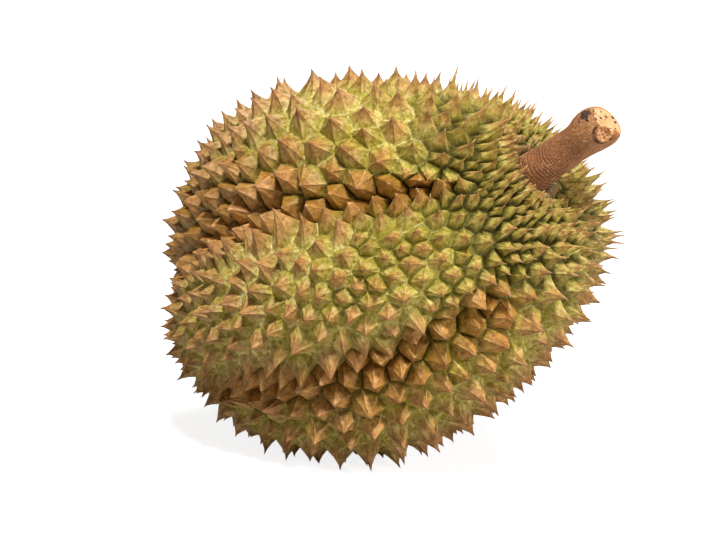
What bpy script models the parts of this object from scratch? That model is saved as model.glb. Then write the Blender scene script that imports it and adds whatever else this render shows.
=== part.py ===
"""A whole durian resting on its side: a thorny husk and the woody stalk it hung from.

Lengths are metres. +X runs towards the stalk end, +Z is up, and the fruit rests on z = 0.
The fruit's own axis is tilted up from +X, so its stalk end is raised.
"""
import math

import bmesh
import bpy
import numpy as np

# The rind between the thorns: a blunt spindle with five swollen lobes parted by grooves.
HALF_LENGTH = 0.1062
HALF_WIDTH = 0.0877
LENGTH_POWER = 1.04
WIDTH_POWER = 0.724
EGG = -0.036
UPRIGHT = 0.985
AXIS_TILT = math.radians(36.5)
GROOVES = np.radians([55.5, 117.9, 184.7, 264.8, 343.2])
LOBE_SWELL = np.array([0.0, 0.025, 0.098, -0.127, 0.171])
SWELL_FADE = 0.20
GROOVE_DEPTH = 0.165
GROOVE_SHARPNESS = 0.7
GROOVE_FADE = 1.5
GROOVE_TWIST = math.radians(21.8)
STALK_END_DROP = 0.0048
STALK_END_SWING = 0.0055
STALK_END_REACH = 0.5

# Round the stalk the rind dips, and the stalk's seat stands a little above the fruit's axis.
STALK_DIP = 0.0030
STALK_DIP_REACH = 0.015
SEAT_RISE = 0.0036
SEAT_RISE_REACH = 0.034

# The belly it rests on is flatter than the rest of the rind.
BELLY_START = 0.0536
BELLY_SOFTNESS = 0.0286
BELLY_LEAN = np.array([-0.13, 0.045])
FLOOR_DROP = 0.0856

# The thorns.
THORNS = 1130
RING_THORNS = 32
SEAT_RADIUS = 0.0108
STALK_SQUEEZE = 1.15
STALK_SQUEEZE_REACH = 0.55
NEAR_STALK_SPACING = 0.64
NEAR_STALK_REACH = 0.62
NEAR_STALK_POWER = 3
# Patches of finer and coarser thorns: place along the fruit, place around it, reach, change of spacing.
PATCHES = (
    (0.0, 0.0, 0.34, -0.34),
    (0.75, math.radians(101), 0.42, -0.30),
    (0.66, math.radians(148), 0.25, 0.75),
    (0.95, math.radians(52), 0.50, 0.10),
    (2.40, math.radians(40), 0.80, -0.12),
)
# A thorn's height for the width of its foot. The crown round the stalk stands taller and leans along it.
HEIGHT_PER_WIDTH = 0.86
HEIGHT_MIN = 0.0045
HEIGHT_MAX = 0.0125
HEIGHT_SPREAD = 0.10
LEAN_SPREAD = 0.07
CROWN_REACH = 0.34
CROWN_STRETCH = 0.7
CROWN_LEAN = 0.7
SEAT_SINK = 0.0003
RELAX_ROUNDS = 12
FEET_JITTER = 0.06
CLOUD = 40000
TABLE_STEPS = 3000
POLE_MARGIN = 0.004
CORNER_EVENNESS = 0.45
SEED = 11

# The stalk: radius at places along its length, and the swelling and scar at its cut end.
STEM_LENGTH = 0.0468
STEM_GAP = 0.0004
STEM_SIDES = 32
STEM_PLACES = np.array([0.0, 0.03, 0.10, 0.22, 0.36, 0.50, 0.62, 0.72, 0.80, 0.88, 0.945, 0.985, 1.0])
STEM_RADII = np.array([99, 98, 96, 91, 86, 85, 88, 93, 99, 99, 96, 90, 83]) * 1e-4
STEM_BEND = 0.0008
KNOT_AROUND = math.radians(121)
KNOT_ALONG = 0.95
KNOT_HEIGHT = 0.0016
KNOT_SPREAD = 0.55
KNOT_REACH = 0.08
END_FACE_TILT = 0.16
END_FACE_TILT_POWER = 4
END_FACE_RINGS = (0.72, 0.38)


def clear_scene():
    """Take out everything a new file starts with."""
    for thing in list(bpy.data.objects):
        bpy.data.objects.remove(thing, do_unlink=True)


def fruit_axes():
    """The fruit's own axis towards the stalk, its upward side and the side that faces -Y."""
    along = np.array([math.cos(AXIS_TILT), 0.0, math.sin(AXIS_TILT)])
    upward = np.array([-math.sin(AXIS_TILT), 0.0, math.cos(AXIS_TILT)])
    sideways = np.array([0.0, -1.0, 0.0])
    return along, upward, sideways


def lobe_shape(theta, phi):
    """Radius factor: 1 on a lobe's crest, less in a groove, times the lobe's own swelling."""
    turned = np.mod(phi - GROOVE_TWIST * np.cos(theta) - GROOVES[0], 2 * np.pi)
    edges = np.append(GROOVES - GROOVES[0], 2 * np.pi)
    lobe = np.clip(np.searchsorted(edges, turned, side="right") - 1, 0, len(GROOVES) - 1)
    place = (turned - edges[lobe]) / (edges[lobe + 1] - edges[lobe])
    arch = np.clip(np.sin(np.pi * place), 0.0, 1.0)
    cut = GROOVE_DEPTH * (1 - arch**GROOVE_SHARPNESS) * np.minimum(1, GROOVE_FADE * np.sin(theta))
    swell = LOBE_SWELL[lobe] * arch * (1 - np.exp(-((np.sin(theta) / SWELL_FADE) ** 2)))
    return 1 - cut + swell


def spindle(theta):
    """Distance along the axis and distance from the axis, before lobes: powers of cosine and sine."""
    cosine, sine = np.cos(theta), np.abs(np.sin(theta))
    along = HALF_LENGTH * np.sign(cosine) * np.abs(cosine) ** LENGTH_POWER
    across = HALF_WIDTH * sine**WIDTH_POWER * (1 + EGG * cosine)
    return along, across


def flatten_belly(points):
    """Below the belly's start, which leans a little, the depth d becomes soft * tanh(d / soft)."""
    start = -BELLY_START + points[..., :2] @ BELLY_LEAN
    depth = np.maximum(start - points[..., 2], 0.0)
    eased = BELLY_SOFTNESS * np.tanh(depth / BELLY_SOFTNESS)
    points[..., 2] += depth - eased
    return points


def rind(theta, phi):
    """A point of the rind: theta runs from the stalk to the other end, phi around from the top."""
    along, upward, sideways = fruit_axes()
    reach, across = spindle(theta)
    stalk_half = np.cos(theta) > 0
    reach = reach - stalk_half * STALK_DIP * np.exp(-((across / STALK_DIP_REACH) ** 2))
    seat_shift = stalk_half * SEAT_RISE * np.exp(-((across / SEAT_RISE_REACH) ** 2))
    across = across * lobe_shape(theta, phi)
    near_stalk = np.exp(-(((1 - np.cos(theta)) / STALK_END_REACH) ** 2))
    up_by = across * np.cos(phi) * UPRIGHT - near_stalk * STALK_END_DROP + seat_shift
    side_by = across * np.sin(phi) - near_stalk * STALK_END_SWING
    points = reach[..., None] * along + up_by[..., None] * upward + side_by[..., None] * sideways
    return flatten_belly(points)


def squeeze_table():
    """Angle on the layout ball for each theta, so that thorns near the stalk come out narrow and long.

    On the ball, ln tan(angle / 2) grows by arc / (radius * stretch), which keeps every thorn's
    length to width at the stretch wanted there.
    """
    theta = np.linspace(POLE_MARGIN, np.pi - POLE_MARGIN, TABLE_STEPS)
    reach, across = spindle(theta)
    arc = np.hypot(np.diff(reach), np.diff(across))
    middle = 0.5 * (theta[1:] + theta[:-1])
    stretch = 1 + STALK_SQUEEZE * np.exp(-((middle / STALK_SQUEEZE_REACH) ** 2))
    growth = np.append(0.0, np.cumsum(arc / (0.5 * (across[1:] + across[:-1]) * stretch)))
    growth -= np.interp(np.pi / 2, theta, growth)
    return theta, 2 * np.arctan(np.exp(growth))


def ball_point(angle, phi):
    """Unit vector at an angle from the pole and phi around it."""
    return np.stack([np.sin(angle) * np.cos(phi), np.sin(angle) * np.sin(phi), np.cos(angle)], axis=-1)


def ball_to_rind_angles(points, table):
    """Angles theta and phi on the rind of unit vectors on the layout ball."""
    theta, angle = table
    reached = np.arccos(np.clip(points[..., 2], -1, 1))
    return np.interp(reached, angle, theta), np.arctan2(points[..., 1], points[..., 0])


def spacing(theta, phi):
    """Wanted width of a thorn's foot, relative to the usual one."""
    width = 1 - (1 - NEAR_STALK_SPACING) * np.exp(-((theta / NEAR_STALK_REACH) ** NEAR_STALK_POWER))
    here = ball_point(theta, phi)
    for centre, around, reach, change in PATCHES:
        apart = np.linalg.norm(here - ball_point(np.array(centre), np.array(around)), axis=-1)
        width = width * (1 + change * np.exp(-((apart / reach) ** 2)))
    return width


def crowding(points, table):
    """How many thorns belong on each bit of the ball: its area on the rind over the spacing squared."""
    theta, phi = ball_to_rind_angles(points, table)
    across = spindle(theta)[1]
    scale = across / np.maximum(np.sqrt(1 - points[..., 2] ** 2), 1e-3)
    stretch = 1 + STALK_SQUEEZE * np.exp(-((theta / STALK_SQUEEZE_REACH) ** 2))
    return stretch * (scale / spacing(theta, phi)) ** 2


def ring_feet(table):
    """The pole and the ring of narrow thorns that stands round the stalk."""
    radius_theta = (SEAT_RADIUS / HALF_WIDTH) ** (1 / WIDTH_POWER)
    seat_angle = np.interp(radius_theta, *table)
    width = 2 * np.pi * math.sin(seat_angle) / RING_THORNS
    around = 2 * np.pi * np.arange(RING_THORNS) / RING_THORNS
    ring = ball_point(np.full(RING_THORNS, seat_angle + 0.5 * width), around)
    return np.vstack([[[0.0, 0.0, 1.0]], ring]), seat_angle, width


def thorn_feet(rng, table):
    """Spread the thorns' feet: random points moved to the middle of what lies nearest, a few times."""
    fixed, seat_angle, width = ring_feet(table)
    cloud = rng.normal(size=(CLOUD, 3))
    cloud /= np.linalg.norm(cloud, axis=1, keepdims=True)
    cloud = cloud[np.arccos(cloud[:, 2]) > seat_angle + width]
    weight = crowding(cloud, table)
    pick = rng.choice(len(cloud), THORNS - RING_THORNS, replace=False, p=weight / weight.sum())
    feet = np.vstack([fixed, cloud[pick]])
    for _ in range(RELAX_ROUNDS):
        nearest = np.argmax(cloud @ feet.T, axis=1)
        total = np.stack([np.bincount(nearest, weight * cloud[:, k], len(feet)) for k in range(3)], axis=1)
        moved = total / np.maximum(np.linalg.norm(total, axis=1, keepdims=True), 1e-9)
        counted = np.bincount(nearest, minlength=len(feet)) > 0
        counted[: len(fixed)] = False
        feet[counted] = moved[counted]
    return jitter(rng, feet, len(fixed)), seat_angle


def jitter(rng, feet, kept):
    """Push every foot after the fixed ones a little off its even place."""
    gap = np.sort(feet @ feet.T, axis=1)[:, -2]
    step = FEET_JITTER * np.arccos(np.clip(gap, -1, 1))
    step[:kept] = 0.0
    feet = feet + step[:, None] * rng.normal(size=feet.shape)
    return feet / np.linalg.norm(feet, axis=1, keepdims=True)


def hull_triangles(points):
    """Triangles of the convex hull of points on a ball, each turned to face outward."""
    mesh = bmesh.new()
    verts = [mesh.verts.new(point) for point in points]
    mesh.verts.index_update()
    bmesh.ops.convex_hull(mesh, input=verts)
    bmesh.ops.triangulate(mesh, faces=list(mesh.faces))
    triangles = np.array([[vert.index for vert in face.verts] for face in mesh.faces])
    mesh.free()
    first, second, third = (points[triangles[:, k]] for k in range(3))
    facing = np.einsum("ij,ij->i", np.cross(second - first, third - first), first)
    triangles[facing < 0] = triangles[facing < 0][:, ::-1]
    return triangles


def foot_corners(feet, triangles, seat_angle):
    """Where three feet meet: between the point even to all three and their plain middle."""
    first, second, third = (feet[triangles[:, k]] for k in range(3))
    even = np.cross(second - first, third - first)
    even /= np.linalg.norm(even, axis=1, keepdims=True)
    middle = first + second + third
    middle /= np.linalg.norm(middle, axis=1, keepdims=True)
    corners = CORNER_EVENNESS * middle + (1 - CORNER_EVENNESS) * even
    corners /= np.linalg.norm(corners, axis=1, keepdims=True)
    at_seat = (triangles == 0).any(axis=1)
    around = np.arctan2(middle[at_seat, 1], middle[at_seat, 0])
    corners[at_seat] = ball_point(np.full(at_seat.sum(), seat_angle), around)
    return corners


def thorn_sides(feet, triangles, corners):
    """For every side of every thorn: the thorn's number and its two corners, in turn around it."""
    owner = triangles.ravel()
    corner = np.repeat(np.arange(len(triangles)), 3)
    out = feet[owner]
    near_pole = np.abs(out[:, 2:3]) > math.cos(math.radians(25))
    right = np.cross(np.where(near_pole, [[1.0, 0.0, 0.0]], [[0.0, 0.0, 1.0]]), out)
    right /= np.linalg.norm(right, axis=1, keepdims=True)
    forward = np.cross(out, right)
    place = corners[corner]
    turn = np.arctan2(np.einsum("ij,ij->i", place, forward), np.einsum("ij,ij->i", place, right))
    order = np.lexsort((turn, owner))
    owner, corner = owner[order], corner[order]
    start = np.searchsorted(owner, owner, side="left")
    end = np.searchsorted(owner, owner, side="right")
    follower = np.arange(len(owner)) + 1
    follower = np.where(follower == end, start, follower)
    return owner, corner, corner[follower]


def thorn_tips(rng, feet, table, owner, left, right, corners):
    """Tip of each thorn: its foot's middle raised along the foot's normal, leaning a little.

    The crown of thorns round the stalk stands taller and leans along the stalk.
    """
    count = len(feet)
    size = np.bincount(owner, minlength=count)
    middle = np.stack([np.bincount(owner, corners[left, k], count) for k in range(3)], axis=1) / size[:, None]
    pieces = np.cross(corners[left] - middle[owner], corners[right] - middle[owner])
    normal = np.stack([np.bincount(owner, pieces[:, k], count) for k in range(3)], axis=1)
    area = 0.5 * np.linalg.norm(normal, axis=1)
    normal /= 2 * area[:, None]
    theta = ball_to_rind_angles(feet, table)[0]
    along = fruit_axes()[0]
    crown = np.exp(-((theta / CROWN_REACH) ** 2))
    aim = normal + CROWN_LEAN * crown[:, None] * along + LEAN_SPREAD * rng.normal(size=(count, 3))
    aim /= np.linalg.norm(aim, axis=1, keepdims=True)
    height = HEIGHT_PER_WIDTH * np.sqrt(area) * (1 + HEIGHT_SPREAD * rng.normal(size=count))
    height *= 1 + CROWN_STRETCH * crown
    height = np.clip(height, HEIGHT_MIN, HEIGHT_MAX)
    height[0] = -SEAT_SINK
    aim[0] = along
    return middle + height[:, None] * aim


def rest_on_floor(mesh):
    """Cut the thorns it stands on flat at z = 0 and close the cuts."""
    everything = list(mesh.verts) + list(mesh.edges) + list(mesh.faces)
    bmesh.ops.bisect_plane(mesh, geom=everything, plane_co=(0, 0, 0), plane_no=(0, 0, 1), clear_inner=True)
    open_edges = [edge for edge in mesh.edges if edge.is_boundary]
    bmesh.ops.holes_fill(mesh, edges=open_edges, sides=0)
    bmesh.ops.recalc_face_normals(mesh, faces=list(mesh.faces))


def as_object(name, mesh):
    """Make a finished bmesh into a named object."""
    data = bpy.data.meshes.new(name)
    mesh.to_mesh(data)
    mesh.free()
    thing = bpy.data.objects.new(name, data)
    bpy.context.collection.objects.link(thing)
    return thing


def make_husk():
    """The rind with every thorn as a pyramid on its own many-sided foot."""
    rng = np.random.default_rng(SEED)
    table = squeeze_table()
    feet, seat_angle = thorn_feet(rng, table)
    triangles = hull_triangles(feet)
    corners_on_ball = foot_corners(feet, triangles, seat_angle)
    corners = rind(*ball_to_rind_angles(corners_on_ball, table))
    owner, left, right = thorn_sides(feet, triangles, corners_on_ball)
    tips = thorn_tips(rng, feet, table, owner, left, right, corners)
    points = np.vstack([corners, tips]) + [0.0, 0.0, FLOOR_DROP]
    mesh = bmesh.new()
    verts = [mesh.verts.new(point) for point in points]
    for thorn, one, other in zip(owner + len(corners), left, right):
        mesh.faces.new((verts[thorn], verts[one], verts[other]))
    rest_on_floor(mesh)
    return as_object("husk", mesh), tips[0] + [0.0, 0.0, FLOOR_DROP]


def stem_rings(foot):
    """The stalk's side as rings of points, and its cut face as smaller rings and a middle."""
    along, upward, sideways = fruit_axes()
    around = 2 * np.pi * np.arange(STEM_SIDES) / STEM_SIDES
    turn = around - KNOT_AROUND
    wrapped = np.arctan2(np.sin(turn), np.cos(turn))
    places = np.append(STEM_PLACES, np.ones(len(END_FACE_RINGS)))
    radii = np.append(STEM_RADII, STEM_RADII[-1] * np.array(END_FACE_RINGS))
    knot = np.exp(-((wrapped[None, :] / KNOT_SPREAD) ** 2) - ((places[:, None] - KNOT_ALONG) / KNOT_REACH) ** 2)
    radius = radii[:, None] + KNOT_HEIGHT * knot
    across, over = radius * np.cos(around), radius * np.sin(around)
    tilt = END_FACE_TILT * across * places[:, None] ** END_FACE_TILT_POWER
    reach = STEM_GAP + STEM_LENGTH * places[:, None] - tilt
    bend = STEM_BEND * (places[:, None]) ** 2
    rings = foot + reach[..., None] * along + (across + bend)[..., None] * upward + over[..., None] * sideways
    middle = foot + (STEM_GAP + STEM_LENGTH) * along + STEM_BEND * upward
    return rings, middle


def make_stem(foot):
    """The stalk: a swollen, slightly bent cylinder standing a hair above its seat on the rind."""
    rings, middle = stem_rings(foot)
    mesh = bmesh.new()
    rows = [[mesh.verts.new(point) for point in ring] for ring in rings]
    for lower, upper in zip(rows[:-1], rows[1:]):
        for k in range(STEM_SIDES):
            nxt = (k + 1) % STEM_SIDES
            mesh.faces.new((lower[k], lower[nxt], upper[nxt], upper[k]))
    top = mesh.verts.new(middle)
    bottom = mesh.verts.new(rings[0].mean(axis=0))
    for k in range(STEM_SIDES):
        nxt = (k + 1) % STEM_SIDES
        mesh.faces.new((rows[-1][k], rows[-1][nxt], top))
        mesh.faces.new((rows[0][nxt], rows[0][k], bottom))
    bmesh.ops.recalc_face_normals(mesh, faces=list(mesh.faces))
    bmesh.ops.triangulate(mesh, faces=list(mesh.faces))
    return as_object("stem", mesh)


def give_finish(thing, color, roughness):
    """A plain material of the piece's own."""
    material = bpy.data.materials.new(thing.name)
    material.use_nodes = True
    shader = material.node_tree.nodes["Principled BSDF"]
    shader.inputs["Base Color"].default_value = (*color, 1.0)
    shader.inputs["Roughness"].default_value = roughness
    thing.data.materials.append(material)


def centre_over_origin(things):
    """Slide the pieces together so that their common box stands centred on the origin."""
    points = [np.array([vert.co[:] for vert in thing.data.vertices]) for thing in things]
    low = np.min([cloud.min(axis=0) for cloud in points], axis=0)
    high = np.max([cloud.max(axis=0) for cloud in points], axis=0)
    shift = -0.5 * (low + high)
    shift[2] = 0.0
    for thing, cloud in zip(things, points):
        thing.data.vertices.foreach_set("co", (cloud + shift).ravel())
        thing.data.update()


def main():
    clear_scene()
    husk, foot = make_husk()
    stem = make_stem(foot)
    give_finish(husk, (0.29, 0.25, 0.07), 0.7)
    give_finish(stem, (0.19, 0.09, 0.045), 0.8)
    centre_over_origin([husk, stem])


main()
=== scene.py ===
# %% [markdown]
# # A whole durian lying on its side
#
# A durian is a heavy tropical fruit. Its rind swells into five lobes, one over each chamber of
# pulp inside, and is covered all over in hard, many-sided thorns. The stub of the woody stalk
# that it hung from stands at one end. The plain solids come in as a frame: they already hold the
# size, the lobes and the place of every thorn. This script grows the real surface on them: each
# plain pyramid becomes a hollow-sided, ridged thorn, and the stalk gets bark and a cut face.

# %% Load the frame
import math
from types import SimpleNamespace

import bmesh
import bpy
import numpy as np
from mathutils import Matrix, Vector


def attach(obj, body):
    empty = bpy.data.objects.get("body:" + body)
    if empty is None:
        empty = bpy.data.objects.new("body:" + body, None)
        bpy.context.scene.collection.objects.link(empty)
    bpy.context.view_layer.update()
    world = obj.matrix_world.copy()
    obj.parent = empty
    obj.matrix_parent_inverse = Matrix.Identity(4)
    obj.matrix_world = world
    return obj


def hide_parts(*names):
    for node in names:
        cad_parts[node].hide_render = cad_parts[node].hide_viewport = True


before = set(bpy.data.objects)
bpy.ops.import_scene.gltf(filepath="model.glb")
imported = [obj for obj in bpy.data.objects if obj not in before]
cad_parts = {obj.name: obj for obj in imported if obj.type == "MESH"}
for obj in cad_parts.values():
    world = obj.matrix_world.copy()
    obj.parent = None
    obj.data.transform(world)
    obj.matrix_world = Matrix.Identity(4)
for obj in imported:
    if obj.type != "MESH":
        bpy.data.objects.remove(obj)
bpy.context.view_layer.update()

# %% [markdown]
# The fruit's own axis leans: the stalk end is raised and points along +X. Three directions say
# where anything on the fruit is: along the axis towards the stalk, up from the axis, and sideways.
# The fruit's middle is found from the stalk's foot, which stands on the axis. All lengths here are
# in metres.

# %% The fruit's own directions
AXIS_TILT = math.radians(36.5)
ALONG = np.array([math.cos(AXIS_TILT), 0.0, math.sin(AXIS_TILT)])
UPWARD = np.array([-math.sin(AXIS_TILT), 0.0, math.cos(AXIS_TILT)])
SIDEWAYS = np.array([0.0, -1.0, 0.0])
FOOT_FROM_MIDDLE = 0.1043 * ALONG - 0.0015 * UPWARD - 0.0055 * SIDEWAYS
MERGE_DISTANCE = 2e-5
FOOT_SLICE = 1e-4


def merged_mesh(node):
    """A node's corners and triangles, after the copies of each corner are made one."""
    work = bmesh.new()
    work.from_mesh(node.data)
    bmesh.ops.remove_doubles(work, verts=work.verts, dist=MERGE_DISTANCE)
    data = bpy.data.meshes.new("merged")
    work.to_mesh(data)
    work.free()
    points = np.empty(3 * len(data.vertices))
    data.vertices.foreach_get("co", points)
    corners = np.empty(len(data.loops), dtype=np.int64)
    data.loops.foreach_get("vertex_index", corners)
    bpy.data.meshes.remove(data)
    return points.reshape(-1, 3), corners.reshape(-1, 3)


stalk_points, _ = merged_mesh(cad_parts["stem"])
reach = stalk_points @ ALONG
STALK_FOOT = stalk_points[reach < reach.min() + FOOT_SLICE].mean(axis=0)
MIDDLE = STALK_FOOT - FOOT_FROM_MIDDLE
print("foot of the stalk:", np.round(STALK_FOOT, 4), " middle of the fruit:", np.round(MIDDLE, 4))

# %% [markdown]
# The plain husk is a fan of triangles for each thorn: one corner is the tip and the other two lie
# in the valley between thorns. A tip stands above the corners around it and a valley corner lies
# below them, which tells the two apart. The thorns the fruit stands on were cut flat at the floor,
# so the corners of each cut are first brought together into one blunt tip.

# %% Find the thorns in the plain husk
ON_FLOOR = 1e-5
LONGEST_CHAIN = 12


def one_tip_per_cut(points, triangles):
    """Bring the floor corners that share edges together at their middle, and drop what collapses."""
    pairs = np.vstack([triangles[:, [0, 1]], triangles[:, [1, 2]]])
    one, other = pairs[(points[pairs][:, :, 2] < ON_FLOOR).all(axis=1)].T
    name = np.arange(len(points))
    for _ in range(LONGEST_CHAIN):
        np.minimum.at(name, one, name[other])
        np.minimum.at(name, other, name[one])
    count = np.bincount(name, minlength=len(points))
    sums = np.stack([np.bincount(name, points[:, k], len(points)) for k in range(3)], axis=1)
    points = np.where(count[:, None] > 0, sums / np.maximum(count, 1)[:, None], points)
    triangles = name[triangles]
    whole = (triangles != np.roll(triangles, 1, axis=1)).all(axis=1)
    return points, triangles[whole]


def corner_sums(index, values, count):
    """Add up rows of values by index."""
    return np.stack([np.bincount(index, values[:, k], count) for k in range(values.shape[1])], axis=1)


def tip_first(points, triangles):
    """Turn each triangle so that its tip comes first: tips lie above the mean of their neighbours."""
    count = len(points)
    first, second, third = (points[triangles[:, k]] for k in range(3))
    facing = np.cross(second - first, third - first)
    flat = triangles.ravel()
    normal = corner_sums(flat, np.repeat(facing, 3, axis=0), count)
    around = corner_sums(flat, np.repeat(first + second + third, 3, axis=0) - points[flat], count)
    around /= 2 * np.maximum(np.bincount(flat, minlength=count), 1)[:, None]
    is_tip = np.einsum("ij,ij->i", points - around, normal) > 0
    is_tip[np.argmin(np.linalg.norm(points - STALK_FOOT, axis=1))] = True
    assert (is_tip[triangles].sum(axis=1) == 1).all()
    start = np.argmax(is_tip[triangles], axis=1)[:, None]
    return np.take_along_axis(triangles, (start + np.arange(3)) % 3, axis=1)


plain, plain_triangles = one_tip_per_cut(*merged_mesh(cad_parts["husk"]))
sides = tip_first(plain, plain_triangles)
tip_ids, thorn = np.unique(sides[:, 0], return_inverse=True)
corner_ids, valley = np.unique(sides[:, 1:], return_inverse=True)
valley = valley.reshape(-1, 2)
tips = plain[tip_ids]
corners = plain[corner_ids]
print("thorns:", len(tips), " sides:", len(sides), " valley corners:", len(corners))

# %% [markdown]
# Everything that varies from thorn to thorn is worked out once per thorn, as arrays with one entry
# for each. A loop over the thorns would do the same, but arrays are shorter to read and quick.
# First comes the foot of each thorn: its middle, its width and which way the rind faces there.

# %% Measure the foot of every thorn
def unit(vectors):
    """Vectors scaled to length one."""
    return vectors / np.maximum(np.linalg.norm(vectors, axis=-1, keepdims=True), 1e-12)


def smooth_step(value, low, high):
    """0 below low, 1 above high, and an S-shaped blend between."""
    t = np.clip((value - low) / (high - low), 0.0, 1.0)
    return t * t * (3 - 2 * t)


count = len(tips)
sides_each = np.bincount(thorn, minlength=count)
foot = corner_sums(thorn, corners[valley[:, 0]], count) / sides_each[:, None]
left, right = corners[valley[:, 0]], corners[valley[:, 1]]
faces = corner_sums(thorn, np.cross(left - foot[thorn], right - foot[thorn]), count)
foot_width = np.sqrt(0.5 * np.linalg.norm(faces, axis=1))
outward = unit(faces)
height = np.linalg.norm(tips - foot, axis=1)
print("foot width, mm:", np.round(1000 * np.percentile(foot_width, [5, 25, 50, 75, 95]), 1))
print("height, mm:", np.round(1000 * np.percentile(height, [5, 50, 95]), 1))

# %% [markdown]
# Between the lobes the rind folds in, and the thorns there are brown and blunt. Where the rind is
# hollow, neighbouring thorns turn towards each other, so the turn for each metre between a thorn
# and its neighbours tells how deep in a groove it sits. It is averaged once with its neighbours'
# values, because the turn of a single thorn is uneven. Every valley edge lies between two thorns,
# so a list of the edges is also a list of all the neighbours.

# %% Find the grooves between lobes
FLAT_ENOUGH, HOLLOW_ENOUGH = -4.0, 12.0
edge_ends = np.sort(valley, axis=1)
_, edge, sides_at_edge = np.unique(edge_ends, axis=0, return_inverse=True, return_counts=True)
assert (sides_at_edge == 2).all()
edge = edge.ravel()
order = np.argsort(edge, kind="stable")
one, other = thorn[order[0::2]], thorn[order[1::2]]
gap = foot[other] - foot[one]
bulge = np.einsum("ij,ij->i", outward[other] - outward[one], gap) / np.einsum("ij,ij->i", gap, gap)
hollow = np.zeros(count)
np.add.at(hollow, one, -bulge)
np.add.at(hollow, other, -bulge)
hollow /= sides_each
eased = np.zeros(count)
np.add.at(eased, one, hollow[other])
np.add.at(eased, other, hollow[one])
eased = 0.5 * hollow + 0.5 * eased / sides_each
in_groove = smooth_step(eased, FLAT_ENOUGH, HOLLOW_ENOUGH)
print("share of thorns in grooves:", round(float((in_groove > 0.5).mean()), 2))

# %% [markdown]
# The other things a thorn's shape and colour depend on: how near the stalk it stands, whether it
# is one of the dry scales right at the stalk's foot, how tightly it is packed, and two numbers of
# its own. Those come from its place, so that they stay the same on every run.

# %% Nearness, crowding and own numbers
STALK_COUNTRY = (0.03, 0.15)
DRY_SCALES = (0.012, 0.022)
NARROW_FOOT = (0.0072, 0.0106)
from_pole = np.linalg.norm(foot - STALK_FOOT, axis=1)
near_stalk = 1 - smooth_step(from_pole, *STALK_COUNTRY)
dry_crown = 1 - smooth_step(from_pole, *DRY_SCALES)
crowded = np.maximum(in_groove, 1 - smooth_step(foot_width, *NARROW_FOOT))
own_number = np.mod(foot @ np.array([611.3, 437.7, 829.1]), 1.0)
own_number_2 = np.mod(foot @ np.array([533.9, 917.3, 371.1]), 1.0)
print("share of crowded thorns:", round(float((crowded > 0.5).mean()), 2))

# %% [markdown]
# The rows beside a groove are in between: blunter than the thorns on top of a lobe, sharper than
# the ones inside the groove. The number for this is handed on from each thorn to its neighbours,
# twice. One lobe is narrow and bulges strongly, and its thorns stay sharp up to the groove, as do
# the ones around the stalk.

# %% Rows beside the grooves
BULGE_AROUND = 88.0
BULGE_HALF_WIDTH = (28, 38)
around_axis = np.degrees(np.arctan2((foot - MIDDLE) @ SIDEWAYS, (foot - MIDDLE) @ UPWARD))
on_bulge = 1 - smooth_step(np.abs(around_axis - BULGE_AROUND), *BULGE_HALF_WIDTH)


def with_neighbours(values):
    """The largest value among a thorn and the thorns around it."""
    largest = values.copy()
    np.maximum.at(largest, one, values[other])
    np.maximum.at(largest, other, values[one])
    return largest


next_row = with_neighbours(in_groove)
second_row = with_neighbours(next_row)
near_groove = np.maximum(0.8 * next_row, 0.25 * second_row) * (1 - on_bulge)
near_groove = np.maximum(in_groove, near_groove * smooth_step(from_pole, 0.045, 0.080))
print("share of thorns in or beside grooves:", round(float((near_groove > 0.5).mean()), 2))

# %% [markdown]
# Thorns do not stand square to the rind under them. On the slopes of a groove they keep pointing
# away from the heart of the fruit. The thorns on both flanks of the narrow lobe lean out over the
# grooves, and the ones low on the lobe below it lean towards the stalk. Around the stalk they grow
# long and stand up, like the leaves of a bud, and the scales right at its foot stay short. They
# could be bent one by one by hand, but there are over a thousand, so a rule moves each tip. The
# flat seat under the stalk is left alone.

# %% Stand the thorns upright
SEAT_HEIGHT = 0.002
is_seat = height < SEAT_HEIGHT
edge_step = (in_groove[other] - in_groove[one])[:, None] * unit(gap)
to_groove = np.zeros((count, 3))
np.add.at(to_groove, one, edge_step)
np.add.at(to_groove, other, edge_step)
beside_groove = np.minimum(np.linalg.norm(to_groove, axis=1), 1.0)
from_heart = foot - MIDDLE
from_heart = unit(from_heart - 0.5 * (from_heart @ ALONG)[:, None] * ALONG)
upright = (0.30 + 0.45 * np.maximum(in_groove, beside_groove)) * smooth_step(from_pole, 0.03, 0.06)
straight = unit(tips - foot) * (1 - upright)[:, None] + from_heart * upright[:, None]
height = height * (0.45 + 0.55 * smooth_step(from_pole, 0.013, 0.027))
tips = np.where(is_seat[:, None], tips, foot + height[:, None] * unit(straight))
print("height now, mm:", np.round(1000 * np.percentile(height, [5, 50, 95]), 1))

# %% Lean the tips
# Each pull is 0 to 1. It moves a tip by shares of the thorn's height: along the rind, and outward.
groove_pull = beside_groove * (1 - in_groove) * on_bulge * (1 - dry_crown)
stalk_pull = smooth_step(from_pole, 0.015, 0.028) * (1 - smooth_step(from_pole, 0.045, 0.090))
low_lobe = smooth_step(around_axis, 118, 132) * (1 - smooth_step(around_axis, 160, 175))
low_lobe *= (1 - in_groove) * (1 - stalk_pull)
to_stalk = unit(ALONG - (outward @ ALONG)[:, None] * outward)
shift = groove_pull[:, None] * (0.85 * unit(to_groove) + 0.25 * outward)
shift += stalk_pull[:, None] * (0.12 * to_stalk + 0.70 * outward)
shift += low_lobe[:, None] * (0.34 * to_stalk + 0.20 * outward)
tips = tips + np.where(is_seat, 0.0, height)[:, None] * shift
print("tips moved by up to", (1000 * np.linalg.norm(height[:, None] * shift, axis=1).max()).round(1), "mm")

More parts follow.
